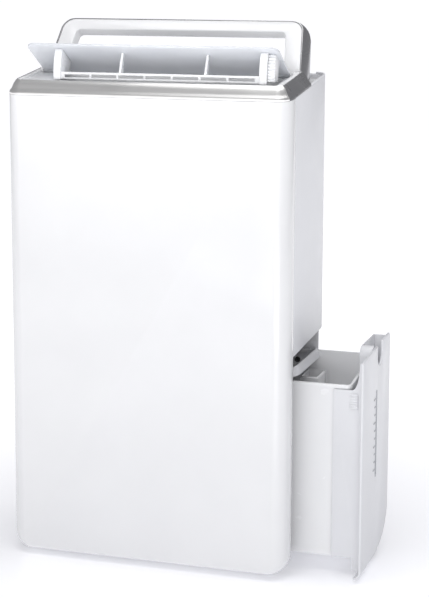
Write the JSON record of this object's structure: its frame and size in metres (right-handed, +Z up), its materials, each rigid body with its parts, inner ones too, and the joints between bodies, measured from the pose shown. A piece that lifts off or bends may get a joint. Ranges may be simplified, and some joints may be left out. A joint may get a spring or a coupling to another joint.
{
  "type": "dehumidifier",
  "caption": "Slim upright dehumidifier with a tank that slides out of its right side, an open outlet flap and a raised carry handle.",
  "frame": {"origin": "centre of the bounding box at floor level, with the tank drawn out as stored", "axes": "+Z up, +Y to the back, +X to the side the tank slides out of"},
  "size_m": [0.434, 0.1842, 0.6524],
  "materials": {
    "gloss_white": "glossy moulded ABS",
    "satin_grey": "fine satin moulding, cool off-white",
    "silver": "brushed silver trim",
    "dark_trim": "satin dark grey",
    "tank_plastic": "clear-tinted moulding",
    "window": "clear",
    "inner_plastic": "plain moulding",
    "black_plastic": "matte black",
    "rubber": "matte",
    "aluminium_fin": "mill finish",
    "copper": "drawn tube",
    "steel": "plated",
    "black_paint": "satin black paint",
    "mesh_fabric": "woven filter mesh"
  },
  "bodies": {
    "cabinet": {"back_shell": "satin_grey", "base_pan": "inner_plastic", "bulkhead": "inner_plastic", "capacitor": "aluminium_fin", "compressor": "black_paint", "compressor_mount_1": "rubber", "compressor_mount_2": "rubber", "compressor_mount_3": "rubber", "condenser": "aluminium_fin", "control_board": "inner_plastic", "control_panel": "black_plastic", "cord_inlet": "black_plastic", "discharge_pipe": "copper", "drip_tray": "inner_plastic", "evaporator": "aluminium_fin", "fan_housing": "inner_plastic", "fan_motor": "steel", "flap_pivot_left": "gloss_white", "flap_pivot_right": "gloss_white", "foot_front_left": "rubber", "foot_front_right": "rubber", "foot_rear_left": "rubber", "foot_rear_right": "rubber", "front_panel": "gloss_white", "handle_pin_left": "steel", "handle_pin_right": "steel", "outlet_grille": "gloss_white", "suction_pipe": "copper", "tank_switch": "black_plastic", "top_deck": "gloss_white", "trim_front": "silver", "trim_left": "dark_trim", "trim_rear_left": "satin_grey", "trim_rear_right": "satin_grey", "trim_right": "dark_trim"},
    "tank": {"tank_box": "tank_plastic", "tank_cover": "satin_grey", "level_window": "window", "tank_grip": "satin_grey", "tank_clip": "satin_grey"},
    "tank_bail": {"tank_bail": "satin_grey"},
    "tank_float": {"tank_float": "gloss_white"},
    "flap": {"flap": "gloss_white", "flap_arm_left": "gloss_white", "flap_arm_right": "gloss_white", "flap_rack": "gloss_white", "louver_blade": "gloss_white"},
    "handle": {"handle_plate": "gloss_white", "handle_rim": "silver"},
    "button_power": {"button_power": "gloss_white"},
    "button_mode": {"button_mode": "gloss_white"},
    "button_timer": {"button_timer": "gloss_white"},
    "button_fan": {"button_fan": "gloss_white"},
    "fan_wheel": {"impeller": "black_plastic"},
    "filter": {"rear_grille": "satin_grey", "filter_frame": "black_plastic", "filter_mesh_left": "mesh_fabric", "filter_mesh_right": "mesh_fabric"},
    "drain_cap": {"drain_cap": "inner_plastic"}
  },
  "joints": [
    {"name": "tank_slide", "type": "slide", "parent": "cabinet", "child": "tank", "axis": [1, 0, 0], "range_m": [-0.084, 0.16]},
    {"name": "bail_hinge", "type": "hinge", "parent": "tank", "child": "tank_bail", "pos_m": [0.103, 0.01713, 0.233], "axis": [0, -1, 0], "range_deg": [0, 110]},
    {"name": "float_hinge", "type": "hinge", "parent": "tank", "child": "tank_float", "pos_m": [0.122, 0.03313, 0.223], "axis": [0, 1, 0], "range_deg": [-12, 0]},
    {"name": "flap_hinge", "type": "hinge", "parent": "cabinet", "child": "flap", "pos_m": [-0.042, -0.01633, 0.59219], "axis": [1, 0, 0], "range_deg": [-15, 38]},
    {"name": "handle_hinge", "type": "hinge", "parent": "cabinet", "child": "handle", "pos_m": [-0.042, 0.01465, 0.5942], "axis": [1, 0, 0], "range_deg": [-48.6, 41]},
    {"name": "button_power_press", "type": "slide", "parent": "cabinet", "child": "button_power", "axis": [0, -0.1193, 0.9929], "range_m": [-0.0015, 0], "stiffness_N_per_m": 250},
    {"name": "button_mode_press", "type": "slide", "parent": "cabinet", "child": "button_mode", "axis": [0, -0.1193, 0.9929], "range_m": [-0.0015, 0], "stiffness_N_per_m": 250},
    {"name": "button_timer_press", "type": "slide", "parent": "cabinet", "child": "button_timer", "axis": [0, -0.1193, 0.9929], "range_m": [-0.0015, 0], "stiffness_N_per_m": 250},
    {"name": "button_fan_press", "type": "slide", "parent": "cabinet", "child": "button_fan", "axis": [0, -0.1193, 0.9929], "range_m": [-0.0015, 0], "stiffness_N_per_m": 250},
    {"name": "fan_spin", "type": "hinge", "parent": "cabinet", "child": "fan_wheel", "pos_m": [-0.027, -0.04687, 0.42], "axis": [0, 1, 0], "continuous": true},
    {"name": "filter_slide", "type": "slide", "parent": "cabinet", "child": "filter", "axis": [0, 1, 0], "range_m": [0, 0.06]},
    {"name": "drain_cap_pull", "type": "slide", "parent": "cabinet", "child": "drain_cap", "axis": [0, 1, 0], "range_m": [0, 0.03]}
  ]
}
